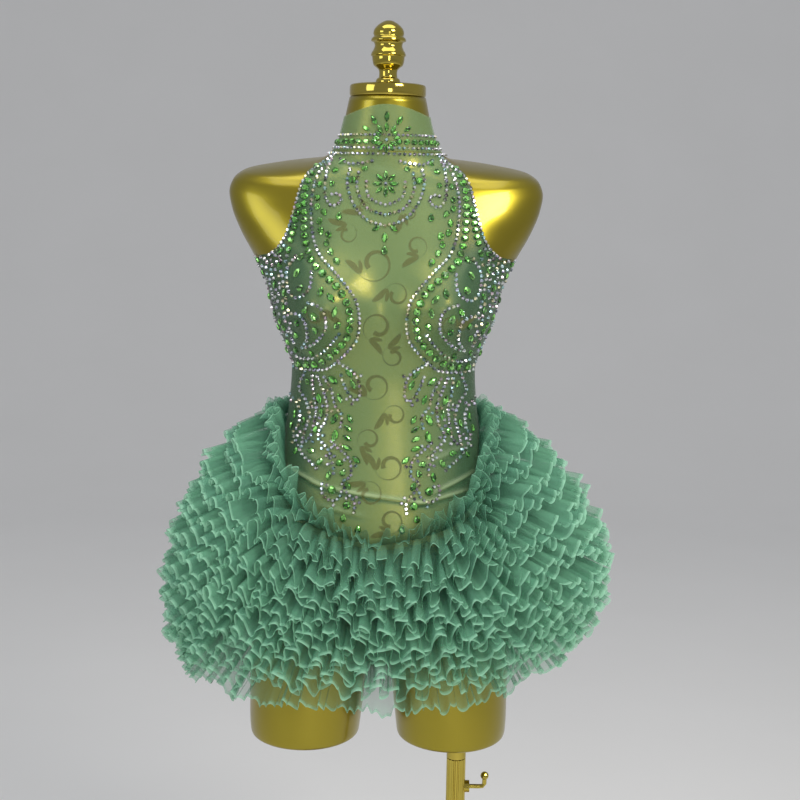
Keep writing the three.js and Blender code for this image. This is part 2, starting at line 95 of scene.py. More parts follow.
def body(angle, z):
    """A point of the body's surface, at an angle round it and a height in the table."""
    angle, z = np.broadcast_arrays(np.asarray(angle, float), np.asarray(z, float))
    half, front, back, power, tilt = np.moveaxis(curve_at(SECTIONS, z), -1, 0)
    c, s = np.cos(angle), np.sin(angle)
    x = half * np.sign(c) * np.abs(c) ** (2 / power)
    y = np.where(s < 0, front, back) * np.sign(s) * np.abs(s) ** (2 / power)
    fade = np.clip(-y / BUST["fade"], 0, 1)
    near = sum(np.exp(-((x - cx) ** 2 + (z - BUST["z"]) ** 2) / (2 * BUST["spread"] ** 2))
               for cx in (BUST["x"], -BUST["x"]))
    return np.stack([x, y - BUST["height"] * fade * near, z + tilt * y], -1)


def outward(angle, z):
    """The surface's outward direction."""
    z = np.asarray(z, float)
    round_it = body(angle + 0.01, z) - body(angle - 0.01, z)
    up = body(angle, z + 0.6) - body(angle, z - 0.6)
    n = np.cross(round_it, up)
    return n / np.maximum(np.linalg.norm(n, axis=-1, keepdims=True), 1e-9)


def lifted(angle, z, lift):
    """A point of the surface, moved outwards."""
    lift = np.asarray(lift, float)
    return body(angle, z) + outward(angle, z) * lift[..., None]


def front_at(x, z):
    """Angle and table height of the front's point at x and a true height z."""
    x, z = np.broadcast_arrays(np.asarray(x, float), np.asarray(z, float))
    row, angle = z.copy(), x * 0
    for _ in range(24):  # the tilt makes a row's true height differ from its table height
        half, power = curve_at(SECTIONS, row)[..., 0], curve_at(SECTIONS, row)[..., 3]
        turn = np.arccos(np.clip(np.abs(x) / half, 0, 0.9995) ** (power / 2))
        angle = np.where(x >= 0, -turn, turn - PI)
        row = row + 0.5 * (z - body(angle, row)[..., 2])
    return angle, row


def row_at(angle, z):
    """The table height of the point at an angle round the body whose true height is z."""
    row = np.array(z, float)
    for _ in range(12):
        row = row + 0.7 * (z - body(angle, row)[..., 2])
    return row


# Meshes from rows of points

def grid_piece(name, points, material, closed=False, caps=False, uv=None, values=None):
    """A surface through rows of points in millimetres, as one object with its attributes."""
    rows, columns = points.shape[:2]
    last = columns if closed else columns - 1
    r, c = np.meshgrid(np.arange(rows - 1), np.arange(last), indexing="ij")
    a = r * columns + c
    b = r * columns + (c + 1) % columns
    faces = np.stack([a, b, b + columns, a + columns], -1).reshape(-1, 4).tolist()
    if caps:
        faces.append(list(range(columns - 1, -1, -1)))
        faces.append(list(range((rows - 1) * columns, rows * columns)))
    mesh = bpy.data.meshes.new(name)
    mesh.from_pydata((points.reshape(-1, 3) * MM).tolist(), [], faces)
    if uv is not None:
        layer = mesh.uv_layers.new(name="cloth")
        corner = np.empty(len(mesh.loops), np.int32)
        mesh.loops.foreach_get("vertex_index", corner)
        layer.data.foreach_set("uv", uv.reshape(-1, 2)[corner].astype(np.float32).ravel())
    for key, value in (values or {}).items():
        mesh.attributes.new(key, "FLOAT", "POINT").data.foreach_set("value", value.astype(np.float32).ravel())
    mesh.polygons.foreach_set("use_smooth", [True] * len(mesh.polygons))
    mesh.update()
    piece = bpy.data.objects.new(name, mesh)
    bpy.context.scene.collection.objects.link(piece)
    mesh.materials.append(material)
    return piece


def only(piece):
    """Selects one piece alone."""
    bpy.ops.object.select_all(action="DESELECT")
    piece.select_set(True)
    bpy.context.view_layer.objects.active = piece


def apply_all(piece):
    """Applies a piece's modifiers."""
    only(piece)
    for modifier in list(piece.modifiers):
        bpy.ops.object.modifier_apply(modifier=modifier.name)


def thicken(piece, wall):
    """Gives a sheet its wall, outwards."""
    shell = piece.modifiers.new("wall", "SOLIDIFY")
    shell.thickness = wall * MM
    shell.offset = 1
    apply_all(piece)


# Shader maths

# A Mix node's sockets by number, as several of them share a name
MIX_SHARE, MIX_FIRST, MIX_SECOND = 0, 6, 7
MIX_RESULT = 2


class Value:
    """A socket in a material's graph, so that shader maths reads as plain expressions."""

    def __init__(self, graph, socket):
        self.graph = graph
        self.socket = socket

    def math(self, operation, *others):
        return self.graph.node("ShaderNodeMath", {"operation": operation}, [self, *others])

    def __add__(self, other):
        return self.math("ADD", other)

    def __sub__(self, other):
        return self.math("SUBTRACT", other)

    def __rsub__(self, other):
        return self.graph.node("ShaderNodeMath", {"operation": "SUBTRACT"}, [other, self])

    def __mul__(self, other):
        return self.math("MULTIPLY", other)

    def __truediv__(self, other):
        return self.math("DIVIDE", other)

    __radd__ = __add__
    __rmul__ = __mul__

    def clamp(self):
        return self.graph.node("ShaderNodeClamp", {}, [self])


class Graph:
    """One material's node graph."""

    def __init__(self, name):
        self.material = bpy.data.materials.new(name)
        self.material.use_nodes = True
        self.tree = self.material.node_tree
        self.shader = self.tree.nodes["Principled BSDF"]

    def node(self, kind, settings=None, inputs=(), output=0):
        """Adds a node: its settings first, then the values or links of its sockets."""
        made = self.tree.nodes.new(kind)
        for key, value in (settings or {}).items():
            setattr(made, key, value)
        pairs = inputs.items() if isinstance(inputs, dict) else enumerate(inputs)
        for key, value in pairs:
            self.join(value, made.inputs[key])
        return Value(self, made.outputs[output])

    def join(self, value, socket):
        """Links a value to a socket, or sets the socket to a number or colour."""
        if isinstance(value, Value):
            self.tree.links.new(value.socket, socket)
        else:
            socket.default_value = value

    def set(self, **sockets):
        """Sets or links the shader's own sockets: base_color is Base Color."""
        for key, value in sockets.items():
            name = "Specular IOR Level" if key == "specular_ior_level" else key.replace("_", " ").title()
            self.join(value, self.shader.inputs[name])

    def place(self):
        """The point's own place in the object, which the cloud and weave patterns follow."""
        return self.node("ShaderNodeTexCoord", output="Object")

    def noise(self, scale, detail=3):
        return self.node("ShaderNodeTexNoise", {}, {"Vector": self.place(), "Scale": scale, "Detail": detail})

    def mix(self, share, first, second):
        """A colour between two others."""
        first, second = ((*tone, 1) if isinstance(tone, tuple) else tone for tone in (first, second))
        return self.node("ShaderNodeMix", {"data_type": "RGBA"},
                         {MIX_SHARE: share, MIX_FIRST: first, MIX_SECOND: second}, MIX_RESULT)

    def bump(self, height, strength, distance):
        return self.node("ShaderNodeBump", {}, {"Height": height, "Strength": strength,
                                               "Distance": distance})

    def attribute(self, name):
        """A number that the piece carries at each point."""
        return self.node("ShaderNodeAttribute", {"attribute_name": name}, output="Fac")

    def tint(self, name):
        """A colour that the piece carries at each face's corners."""
        return self.node("ShaderNodeAttribute", {"attribute_name": name}, output="Color")


def gold_paint():
    """The form's glossy gold, a little cloudy, with fine grain under a clear coat."""
    g = Graph("gold_paint")
    cloud = g.noise(9, 4)
    g.set(base_color=g.mix(cloud, (0.27, 0.215, 0.012), (0.33, 0.27, 0.02)),
          roughness=g.noise(40, 2) * 0.06 + 0.27, metallic=0.92, coat_weight=0.35, coat_roughness=0.08)
    g.set(normal=g.bump(g.noise(1500, 2), 0.03, 0.0004))
    return g.material


def gold_chrome():
    """The polished gold of the neck cap, the finial, the pole and the plate."""
    g = Graph("gold_chrome")
    g.set(base_color=g.mix(g.noise(30, 2), (0.40, 0.315, 0.05), (0.48, 0.385, 0.08)),
          roughness=g.noise(80, 3) * 0.06 + 0.05, metallic=1.0)
    return g.material


SCROLLS = [
    # x, z of the middle, radius, start angle in turns, width, -1 or 1 for the way it curls
    (-10, 1134, 21, 0.10, 7.5, 1), (15, 1100, 14, 0.60, 6, -1), (-6, 1064, 18, 0.35, 7, -1),
    (12, 1030, 13, 0.85, 6, 1), (-8, 996, 17, 0.15, 7, 1), (15, 962, 13, 0.55, 6, -1),
    (-14, 934, 14, 0.40, 6, -1), (10, 904, 17, 0.05, 7, 1), (-12, 872, 15, 0.70, 6.5, -1),
    (12, 842, 15, 0.25, 6.5, 1), (36, 1154, 13, 0.30, 5.5, 1), (-42, 1166, 12, 0.75, 5, -1),
    (-24, 1196, 9, 0.2, 4, 1), (27, 1190, 10, 0.5, 4.5, -1), (-74, 1078, 13, 0.6, 5, 1),
    (76, 1070, 13, 0.1, 5, -1),
]
LEAF_LONG, LEAF_WIDE = 12, 3.8


def scroll_mask(g, x, z):
    """How far a point is inside the cloth's scrolls and their leaves, from 0 to 1."""
    mask = None
    for cx, cz, radius, start, width, way in SCROLLS:
        dx, dz = (x - cx) * way, z - cz
        turn = g.node("ShaderNodeMath", {"operation": "ARCTAN2"}, [dz, dx]) / (2 * PI) + (1.5 - start)
        share = turn.math("FRACT")
        far = (dx * dx + dz * dz).math("SQRT")
        ring = (far - (radius - share * (radius * 0.6))).math("ABSOLUTE")
        inside = ((share * 0.75 + 0.2) * (width / 2) - ring).clamp()
        mask = inside if mask is None else mask.math("MAXIMUM", inside)
        a = 2 * PI * (start - 0.5)
        for lean, size in ((0.2, 1.0), (-0.55, 0.7)):
            c, s = math.cos(a - PI / 2 + lean), math.sin(a - PI / 2 + lean)
            long, wide = LEAF_LONG * size, LEAF_WIDE * size
            lx, lz = dx - radius * math.cos(a) - c * long, dz - radius * math.sin(a) - s * long
            u, v = (lx * c + lz * s) / long, (lz * c - lx * s) / wide
            bend = v + (1 - u * u) * 0.5
            mask = mask.math("MAXIMUM", ((1 - u * u - bend * bend) * 2.5).clamp())
    return mask


# Where the painted shade on the mesh starts towards the side, and over how far, in millimetres
SIDE_SHADE_START, SIDE_SHADE_FADE = 48, 44


def sage_mesh():
    """Sheer stretch mesh with its woven scrolls, denser where a fold doubles it, with a painted highlight on
    a fold's crest, painted shade under it and painted shade towards the sides.
    """
    g = Graph("sage_mesh")
    x = g.node("ShaderNodeSeparateXYZ", {}, [g.node("ShaderNodeUVMap", {"uv_map": "cloth"})])
    z = Value(g, x.socket.node.outputs["Y"])
    mask = scroll_mask(g, x, z)
    side = ((x.math("ABSOLUTE") - SIDE_SHADE_START) / SIDE_SHADE_FADE).clamp()
    weave = g.noise(2200, 1)
    tone = g.mix(g.noise(14, 3), (0.215, 0.365, 0.15), (0.27, 0.44, 0.19))
    # Painted shade: darker green towards the sides, where the form turns from the light
    tone = g.mix(side * 0.92, tone, (0.045, 0.125, 0.06))
    # The fold attribute carries painted light: a painted highlight on each crest, where the cloth also
    # doubles, and painted shade just under it
    fold = g.attribute("fold")
    crest, valley_shade = fold.clamp(), (0 - fold).clamp()
    tone = g.mix(crest * 0.6, tone, (0.52, 0.62, 0.33))
    tone = g.mix(valley_shade * 0.9, tone, (0.045, 0.12, 0.05))
    colour = g.mix(mask * 0.85, tone, (0.13, 0.14, 0.03))
    # Denser where the scrolls are woven and where a fold doubles the cloth, and denser again under the
    # painted shade at the sides and under the folds
    doubled = mask * 0.22 + side * 0.2 + crest * 0.28 + valley_shade * 0.4
    g.set(base_color=colour, alpha=(weave * 0.12 + 0.25 + doubled).clamp(), roughness=0.55,
          sheen_weight=0.2, sheen_roughness=0.4)
    g.set(normal=g.bump(weave, 0.25, 0.0003))
    return g.material


def sage_tulle(name, seam_shade, light):
    """Sheer tulle, dark with painted shade at its seam, lighter towards its hem, and brightest with a painted
    highlight on the edge itself, where it is also denser.
    """
    g = Graph(name)
    share = g.attribute("share")
    # The hem's edge: a painted highlight in a lighter mint, and denser cloth
    edge = ((share - 0.95) * 22).clamp()
    # Painted shade: dark at the seam, lightening towards the hem
    shade = g.mix(((share - 0.15) * 1.5).clamp(), seam_shade, light)
    shade = g.mix(g.noise(25, 3) * 0.3, shade, tuple(0.55 * v for v in light))
    weave = g.noise(1900, 1)
    g.set(base_color=g.mix(edge * 0.8, shade, (0.38, 0.70, 0.50)), roughness=0.8,
          alpha=weave * 0.12 + 0.31 + edge * 0.36, specular_ior_level=0.25)
    g.set(normal=g.bump(weave, 0.2, 0.0003))
    return g.material


def cut_stone(name, roughness, metallic):
    """A foiled cut stone, each facet with its stone's tint times a painted brightness: painted glints on some
    facets, painted shade on others.
    """
    g = Graph(name)
    # The tint attribute holds each facet's colour: the stone's tint with a painted glint on some facets and
    # painted shade on others
    g.set(base_color=g.tint("tint"), roughness=roughness, metallic=metallic, coat_weight=1.0,
          coat_roughness=0.02)
    return g.material


def snap_metal():
    """The collar snaps' plain polished metal."""
    g = Graph("snap_metal")
    g.set(base_color=g.mix(g.noise(60), (0.6, 0.6, 0.57), (0.72, 0.72, 0.69)), roughness=0.25, metallic=1.0)
    return g.material


def sage_band():
    """The collar tab's doubled mesh, which no light comes through."""
    g = Graph("sage_band")
    g.set(base_color=g.mix(g.noise(40, 2), (0.10, 0.20, 0.09), (0.16, 0.28, 0.13)), roughness=0.7,
          sheen_weight=0.2, sheen_roughness=0.4)
    g.set(normal=g.bump(g.noise(1900, 1), 0.3, 0.0003))
    return g.material


GOLD = gold_paint()
CHROME = gold_chrome()
MESH = sage_mesh()
CRYSTAL = cut_stone("clear_crystal", 0.07, 0.8)
GREEN = cut_stone("green_stone", 0.09, 0.55)


# The form

def dress_form():
    """The smooth torso and its two thigh stubs, in one piece."""
    angles = np.linspace(0, 2 * PI, 160, endpoint=False)
    heights = np.concatenate([np.linspace(a, b, 8, endpoint=False)
                              for a, b in zip(SECTIONS[:-1, 0], SECTIONS[1:, 0])] + [[SECTIONS[-1, 0]]])
    torso = grid_piece("form_smooth", body(angles[None, :], heights[:, None]), GOLD, closed=True, caps=True)
    # The thighs, their lower edge rounded by seven close rows
    angles = np.linspace(0, 2 * PI, 96, endpoint=False)
    heights = np.concatenate([[553, 553.2, 553.6, 554.3, 555.5, 557, 560], np.linspace(566, 740, 40)])
    centre, half, front, back = np.moveaxis(curve_at(LEG_SECTIONS, heights)[:, None, :], -1, 0)
    stubs = []
    for side in (-1, 1):
        x = side * centre + half * np.cos(angles)
        y = np.where(np.sin(angles) < 0, front, back) * np.sin(angles)
        points = np.stack([x, y, np.broadcast_to(heights[:, None], x.shape)], -1)
        stubs.append(grid_piece("thigh", points, GOLD, closed=True, caps=True))
    only(torso)
    for stub in stubs:
        stub.select_set(True)
    bpy.ops.object.join()
    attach(torso, DRESSED)
    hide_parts("form_torso")


def turned(name, profile, x, body_name, nodes, steps=96):
    """A turned metal piece: a disc extruded up its profile of (radius, height) in metres."""
    radius, height = profile[0]
    bpy.ops.object.select_all(action="DESELECT")
    bpy.ops.mesh.primitive_circle_add(vertices=steps, radius=radius, fill_type="NGON",
                                      location=(x, 0, height))
    piece = bpy.context.object
    bpy.ops.object.transform_apply(location=True, rotation=True, scale=True)
    bpy.ops.object.mode_set(mode="EDIT")
    bpy.ops.mesh.select_all(action="SELECT")
    for next_radius, next_height in profile[1:]:
        bpy.ops.mesh.extrude_region_move(TRANSFORM_OT_translate={"value": (0, 0, next_height - height)})
        grow = next_radius / radius
        bpy.ops.transform.resize(value=(grow, grow, 1), center_override=(x, 0, next_height))
        radius, height = next_radius, next_height
    bpy.ops.mesh.select_all(action="SELECT")
    bpy.ops.mesh.normals_make_consistent(inside=False)
    bpy.ops.object.mode_set(mode="OBJECT")
    bpy.ops.object.shade_smooth_by_angle(angle=math.radians(35))
    piece.name = piece.data.name = name
    piece.data.materials.append(CHROME)
    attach(piece, body_name)
    if nodes:
        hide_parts(*nodes)


def rounded(profile, steps=6):
    """A smooth profile through its points, as a turner would leave it."""
    table = np.array(profile, float)
    along = np.concatenate([[0], np.cumsum(np.linalg.norm(np.diff(table, axis=0), axis=1))])
    at = np.concatenate([np.linspace(a, b, steps, endpoint=False) for a, b in zip(along[:-1], along[1:])]
                        + [[along[-1]]])
    return [tuple(p) for p in curve_at(np.column_stack([along, table]), at)]


def fittings():
    """The cap, finial, rod, plate and boss, turned, and the finishes of the CAD nodes that stay."""
    low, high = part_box("neck_cap")
    r, edge = high.x, 0.003
    corner = 0.0009
    turned("neck_cap_smooth", [(r - edge, low.z), (r - corner, low.z + corner), (r, low.z + edge),
                               (r, high.z - edge), (r - corner, high.z - corner), (r - edge, high.z)],
           0, DRESSED, ["neck_cap"])
    low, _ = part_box("finial")
    shape = [(14.0, 0), (14.4, 3), (13.4, 6), (10.8, 8.5), (10.4, 12.5), (10.8, 16), (13.0, 18.6),
             (17.1, 22), (18.6, 28), (19.0, 31.5), (20.4, 33), (19.6, 36), (17.3, 40), (16.0, 44),
             (17.0, 47.5), (20.4, 49.5), (19.8, 52), (17.2, 55), (17.9, 58), (17.0, 62), (15.0, 65),
             (12.4, 67.6), (8.6, 70.2), (4.2, 72.3), (0.6, 72.9)]
    turned("finial_smooth", rounded([(r * MM, low.z + h * MM) for r, h in shape], 4), 0, DRESSED, ["finial"])
    low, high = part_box("pole_rod")
    x = (low.x + high.x) / 2
    rod, sleeve, joint_z, top_z = 0.0096, high.x - x, 0.5203, 0.5527
    thick = rod + 0.0008
    turned("rod_smooth", [(rod, low.z), (rod, joint_z), (sleeve - 0.001, joint_z), (sleeve, joint_z + 0.001),
                          (sleeve, joint_z + 0.013), (sleeve - 0.0015, joint_z + 0.0145),
                          (thick, joint_z + 0.016), (thick, top_z), (rod, top_z), (rod, high.z)],
           x, "rod", ["pole_rod"], 64)
    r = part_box("base_plate")[1].x
    turned("base_smooth", [(r, 0), (r, 0.0062), (r - 0.0006, 0.0076), (r - 0.002, 0.008)],
           0, "stand", ["base_plate"], 128)
    turned("base_boss", [(0.0215, 0.008), (0.0215, 0.020), (0.0208, 0.0218), (0.019, 0.023),
                         (0.0122, 0.023)], x, "stand", [], 64)
    snap = snap_metal()
    finishes = {"pole_tube": CHROME, "clamp_lever": CHROME, "collar_tab": sage_band(),
                "collar_snap_left": snap, "collar_snap_right": snap}
    for name, finish in finishes.items():
        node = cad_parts[name]
        node.data.materials.clear()
        node.data.materials.append(finish)


# The bodice

ARMHOLE = np.array([(1132, 200), (1141, 134), (1150, 122), (1162, 114), (1176, 109), (1190, 105), (1206, 101),
                    (1222, 97), (1236, 90), (1245, 78), (1253, 68), (1260, 60)], float)
LEG_OPENING = np.array([(645, 16), (664, 30), (678, 52), (692, 84), (704, 122), (713, 160), (716, 200)],
                       float)
BELLY_FOLDS = [
    # x, z of each end, height and half width of a soft ridge in the stretched mesh
    (-108, 894, -66, 879, 2.2, 2.0), (-80, 881, -2, 868, 2.4, 2.1), (-34, 874, 62, 861, 2.1, 1.9),
    (34, 860, 98, 873, 2.2, 2.0), (58, 872, 106, 892, 2.0, 2.1), (-96, 916, -48, 900, 1.4, 3.2),
    (44, 904, 98, 924, 1.4, 3.2), (-70, 857, -20, 847, 1.4, 2.6), (-60, 1020, -96, 1034, 1.4, 4),
    (58, 1018, 98, 1036, 1.4, 4), (-100, 1150, -84, 1124, 1.4, 4), (102, 1148, 86, 1120, 1.5, 4),
    (-20, 1240, 10, 1232, 1.0, 4), (-60, 1246, -40, 1232, 1.2, 3), (60, 1246, 42, 1230, 1.2, 3),
]
# A full fold's height, and how far under its crest its painted shade lies
FOLD_HEIGHT, SHADE_DROP = 2.4, 3.2
# The panels' lowest and highest rows, how far off the form they lie, and the cloth's wall
PANEL_FOOT, PANEL_TOP = 646, 1259.8
PANEL_LIFT, CLOTH_WALL = 0.7, 0.5
# The lower and upper end of the front's closely set rows, which carry the belly's folds
BELLY_ROWS = (830, 930)
BACK_UV_SHIFT = [7, 3]


def edge_of(z):
    """How far out the bodice reaches at a height."""
    low = np.interp(z, LEG_OPENING[:, 0], LEG_OPENING[:, 1])
    high = np.interp(z, ARMHOLE[:, 0], ARMHOLE[:, 1])
    return np.minimum(low, high)


def ridge(x, z, folds):
    """The lift of soft ridges, each along a line between two points."""
    lift = np.zeros_like(x)
    for x0, z0, x1, z1, height, width in folds:
        dx, dz = x1 - x0, z1 - z0
        share = np.clip(((x - x0) * dx + (z - z0) * dz) / (dx * dx + dz * dz), 0, 1)
        away = np.hypot(x - x0 - share * dx, z - z0 - share * dz)
        lift += height * np.sin(PI * (0.15 + 0.7 * share)) * np.exp(-(away / width) ** 2 / 2)
    return lift


def panel(name, start, end, columns, node):
    """A bodice panel from one seam angle to another, cut to its outline."""
    in_front = start < 0
    if in_front:
        low, high = BELLY_ROWS
        z = np.concatenate([np.arange(PANEL_FOOT, low, 4), np.arange(low, high, 1.3),
                            np.linspace(high, PANEL_TOP, 105)])
    else:
        z = np.linspace(PANEL_FOOT, PANEL_TOP, 160)
    row, side = z.copy(), z * 0
    for _ in range(14):
        half, power = curve_at(SECTIONS, row)[:, 0], curve_at(SECTIONS, row)[:, 3]
        side = np.arccos(np.clip(edge_of(z) / half, 0, 1) ** (power / 2))
        edge_angle = -side if in_front else side
        row = row + 0.6 * (z - body(edge_angle, row)[:, 2])
    share = np.linspace(0, 1, columns)
    low = start + side if in_front or start < 1 else np.full_like(z, start)
    high = end - side if in_front or end > 3 else np.full_like(z, end)
    angle = low[:, None] + (high - low)[:, None] * share
    height = row_at(angle, np.broadcast_to(z[:, None], angle.shape))
    flat = body(angle, height)
    folds, uv = BELLY_FOLDS, flat[..., [0, 2]]
    if not in_front:
        folds = [(-x0, z0, -x1, z1, 0.9 * rise, wide) for x0, z0, x1, z1, rise, wide in BELLY_FOLDS]
        uv = uv * [-1, 1] + BACK_UV_SHIFT
    lift = ridge(flat[..., 0], flat[..., 2], folds)
    points = lifted(angle, height, PANEL_LIFT + lift)
    # Painted light for the folds: positive on a crest's painted highlight, negative in the painted shade just
    # under it
    fold = (lift - ridge(flat[..., 0], flat[..., 2] + SHADE_DROP, folds)) / FOLD_HEIGHT
    piece = grid_piece(name, points, MESH, uv=uv, values={"fold": fold})
    thicken(piece, CLOTH_WALL)
    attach(piece, DRESSED)
    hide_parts(node)


# The collar band: its foot and its top at the back, its arch in front, and the angle open at the back
COLLAR_FOOT, COLLAR_TOP = 1260.2, 1301
COLLAR_ARCH, COLLAR_HALF = 12, 46
COLLAR_GAP = 0.008


def collar():
    """The stand collar band, open at the centre back."""
    share = np.linspace(0, 1, 200)
    angle = PI / 2 + COLLAR_GAP / 2 + (2 * PI - COLLAR_GAP) * share
    rise = np.linspace(0, 1, 26)[:, None]
    x = body(angle, COLLAR_TOP + 4.0)[:, 0]
    arch = np.where(np.sin(angle) < 0, COLLAR_ARCH * np.cos(np.clip(x / COLLAR_HALF, -1, 1) * PI / 2), 0)
    z = COLLAR_FOOT + (COLLAR_TOP + arch - COLLAR_FOOT) * rise
    angles = np.broadcast_to(angle, z.shape)
    wrinkle = 0.35 * np.sin(9 * angles + 5 * rise) * np.sin(PI * rise)
    points = lifted(angles, row_at(angles, z), 0.9 + wrinkle)
    uv = np.stack([30 * np.cos(angles), z], -1)
    piece = grid_piece("collar_mesh", points, MESH, uv=uv)
    thicken(piece, CLOTH_WALL)
    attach(piece, DRESSED)
    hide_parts("collar")


# The stones, as guide points (x, z) on the front's left half, mirrored to the right

CRYSTAL_LINES = [
    [(-63, 1250), (-75, 1236), (-81, 1221), (-84, 1199), (-82, 1171), (-75, 1147), (-55, 1124), (-38, 1104),
     (-30, 1090), (-27, 1071), (-29, 1052), (-35, 1042), (-51, 1024), (-64, 1014), (-81, 1011), (-104, 1010)],
    [(-60, 1256), (-70, 1248), (-80, 1240), (-90, 1231), (-96, 1221), (-100, 1206), (-104, 1190),
     (-108, 1175), (-113, 1161), (-121, 1149), (-131, 1141)],
    [(-49, 1022), (-31, 1009), (-26, 996), (-25, 987), (-30, 978), (-35, 982), (-42, 993), (-47, 1007)],
    [(-69, 1227), (-69, 1212), (-65, 1201), (-60, 1197), (-53, 1200), (-50, 1205), (-54, 1211), (-61, 1210)],
    [(-63, 1248), (-67, 1239), (-68, 1230)],
    [(-99, 1140), (-109, 1123), (-107, 1104), (-96, 1095), (-86, 1100), (-80, 1111), (-80, 1123)],
    [(-82, 1091), (-72, 1088), (-64, 1078), (-63, 1065), (-70, 1052), (-79, 1043), (-86, 1039)],
    [(-111, 1072), (-99, 1078), (-90, 1075), (-85, 1066), (-84, 1052), (-91, 1038)],
    [(-49, 1057), (-58, 1045), (-69, 1033), (-82, 1026), (-94, 1024)],
    [(-108, 976), (-99, 969), (-95, 960), (-96, 945), (-103, 933), (-97, 922), (-89, 910), (-80, 904),
     (-74, 898)],
    [(-89, 1008), (-96, 988), (-87, 973), (-83, 956), (-88, 940), (-92, 920)],
    [(-80, 1004), (-79, 986), (-75, 969), (-77, 951), (-81, 934), (-87, 927)],
    [(-74, 1004), (-66, 984), (-62, 970), (-64, 952), (-70, 943), (-72, 933), (-64, 925), (-58, 916)],
    [(-66, 1004), (-57, 987), (-53, 971), (-45, 959), (-47, 947)],
    [(-57, 930), (-47, 921), (-39, 915), (-34, 905), (-34, 893), (-44, 884), (-38, 874), (-33, 868),
     (-29, 860), (-30, 851)],
    [(-58, 911), (-54, 901), (-54, 894)],
    [(-66, 881), (-67, 873), (-63, 866), (-55, 863), (-47, 867), (-44, 874)],
    [(-41, 1238), (-44, 1226), (-40, 1208), (-31, 1192), (-18, 1181), (0, 1176)],
    [(-31, 1235), (-33, 1222), (-29, 1207), (-19, 1194), (0, 1188)],
    [(-22, 1225), (-21, 1212), (-12, 1203), (0, 1199)],
    [(-16, 1249), (-29, 1246), (-41, 1245), (-52, 1250)],
]
GREEN_LINES = [
    # kind, length along the line, width across it, pitch, points
    ("round", 9.4, 9.4, 10.2, [(-82, 1137), (-73, 1127), (-65, 1120), (-56, 1112), (-49, 1105), (-43, 1095),
                               (-39, 1085), (-37, 1074), (-38, 1063), (-41, 1051), (-50, 1040), (-64, 1026),
                               (-79, 1018), (-97, 1016)]),
    ("oval", 7.6, 9.0, 8.6, [(-80, 1241), (-88, 1226), (-92, 1208), (-92, 1188), (-91, 1170), (-88, 1154),
                             (-82, 1138)]),
    ("oval", 7.0, 8.0, 8.4, [(-99, 1196), (-101, 1184), (-103, 1170), (-106, 1158)]),
]
GREENS = [
    # x, z, turn in degrees, kind, length, width
    (-97, 1122, 60, "oval", 11, 7), (-92, 1106, 0, "round", 9, 9), (-69, 1103, 80, "marquise", 13, 7),
    (-58, 1097, -55, "marquise", 13, 7), (-54, 1082, 80, "marquise", 13, 7), (-51, 1067, 65, "oval", 10, 8),
    (-76, 1076, -65, "oval", 11, 8), (-75, 1061, 85, "oval", 10, 7.5), (-86, 1083, 42, "marquise", 12, 7),
    (-93, 1139, 70, "oval", 9, 7), (-80, 1032, 80, "oval", 9, 7), (-96, 1067, 60, "oval", 9, 7),
    (-98, 1052, 70, "oval", 9, 7), (-72, 978, -65, "marquise", 13, 7), (-48, 980, -65, "marquise", 12, 6.5),
    (-54, 956, 60, "marquise", 15, 8), (-56, 1001, -35, "marquise", 14, 8), (-86, 996, -80, "oval", 9, 6),
    (-101, 956, 80, "marquise", 12, 5.5), (-90, 950, 75, "marquise", 11, 5.5),
    (-69, 962, -80, "marquise", 12, 6),
    (-53, 937, 80, "marquise", 14, 8), (-76, 942, 70, "oval", 9, 5.5), (-105, 942, 75, "oval", 9, 6),
    (-81, 917, -10, "oval", 10, 7), (-99, 914, 60, "oval", 9, 6), (-70, 906, 50, "oval", 10, 6.5),
    (-36, 957, -60, "marquise", 12, 6.2), (-38, 946, -35, "marquise", 12, 6.2),
    (-39, 935, -28, "marquise", 12, 6.2), (-39, 924, -22, "marquise", 13, 6.2),
    (-28, 911, -42, "marquise", 12.5, 6.5), (-47, 906, -15, "pear", 9.5, 7.5),
    (-43, 896, 68, "pear", 9.5, 7), (-60, 891, 82, "marquise", 12, 6.5), (-55, 875, 0, "round", 10, 10),
    (-37, 881, -60, "marquise", 11, 6.5), (-38, 859, 0, "round", 9.6, 9.6), (-42, 844, 85, "pear", 9, 7),
    (-25, 832, 80, "pear", 9.5, 7), (-38, 1010, -55, "marquise", 13, 6.5),
    (-33, 997, -62, "marquise", 13, 6.5),
    (-75, 1221, 70, "oval", 8, 6), (-77, 1206, 90, "oval", 8, 6.5), (-77, 1196, 90, "oval", 8.4, 6.8),
    (-69, 1190, -60, "pear", 9, 6.5), (-74, 1180, 90, "oval", 9, 6.5), (-72, 1169, -75, "pear", 9.5, 7),
    (-63, 1165, -70, "pear", 9.5, 7), (-65, 1156, 90, "pear", 9, 6.5), (-60, 1146, -65, "pear", 9.5, 7),
    (-53, 1136, -65, "pear", 10.5, 7), (-52, 1186, 90, "pear", 10, 6.5), (-58, 1237, 20, "oval", 8, 7),
    (-38, 1227, 0, "round", 8.4, 8.4), (-50, 1247, 35, "marquise", 11, 5.5), (-24, 1240, 10, "oval", 7.5, 6),
    (-61, 1222, 80, "oval", 7.5, 6), (-10, 1173, 35, "marquise", 10, 5.5), (-118, 1146, 20, "oval", 10, 6.5),
    (-108, 1147, 70, "oval", 9, 6.5),
]
MIDDLE_GREENS = [(0, 1163, 90, "marquise", 12, 6.5), (0, 1149, 90, "pear", 11, 7)]
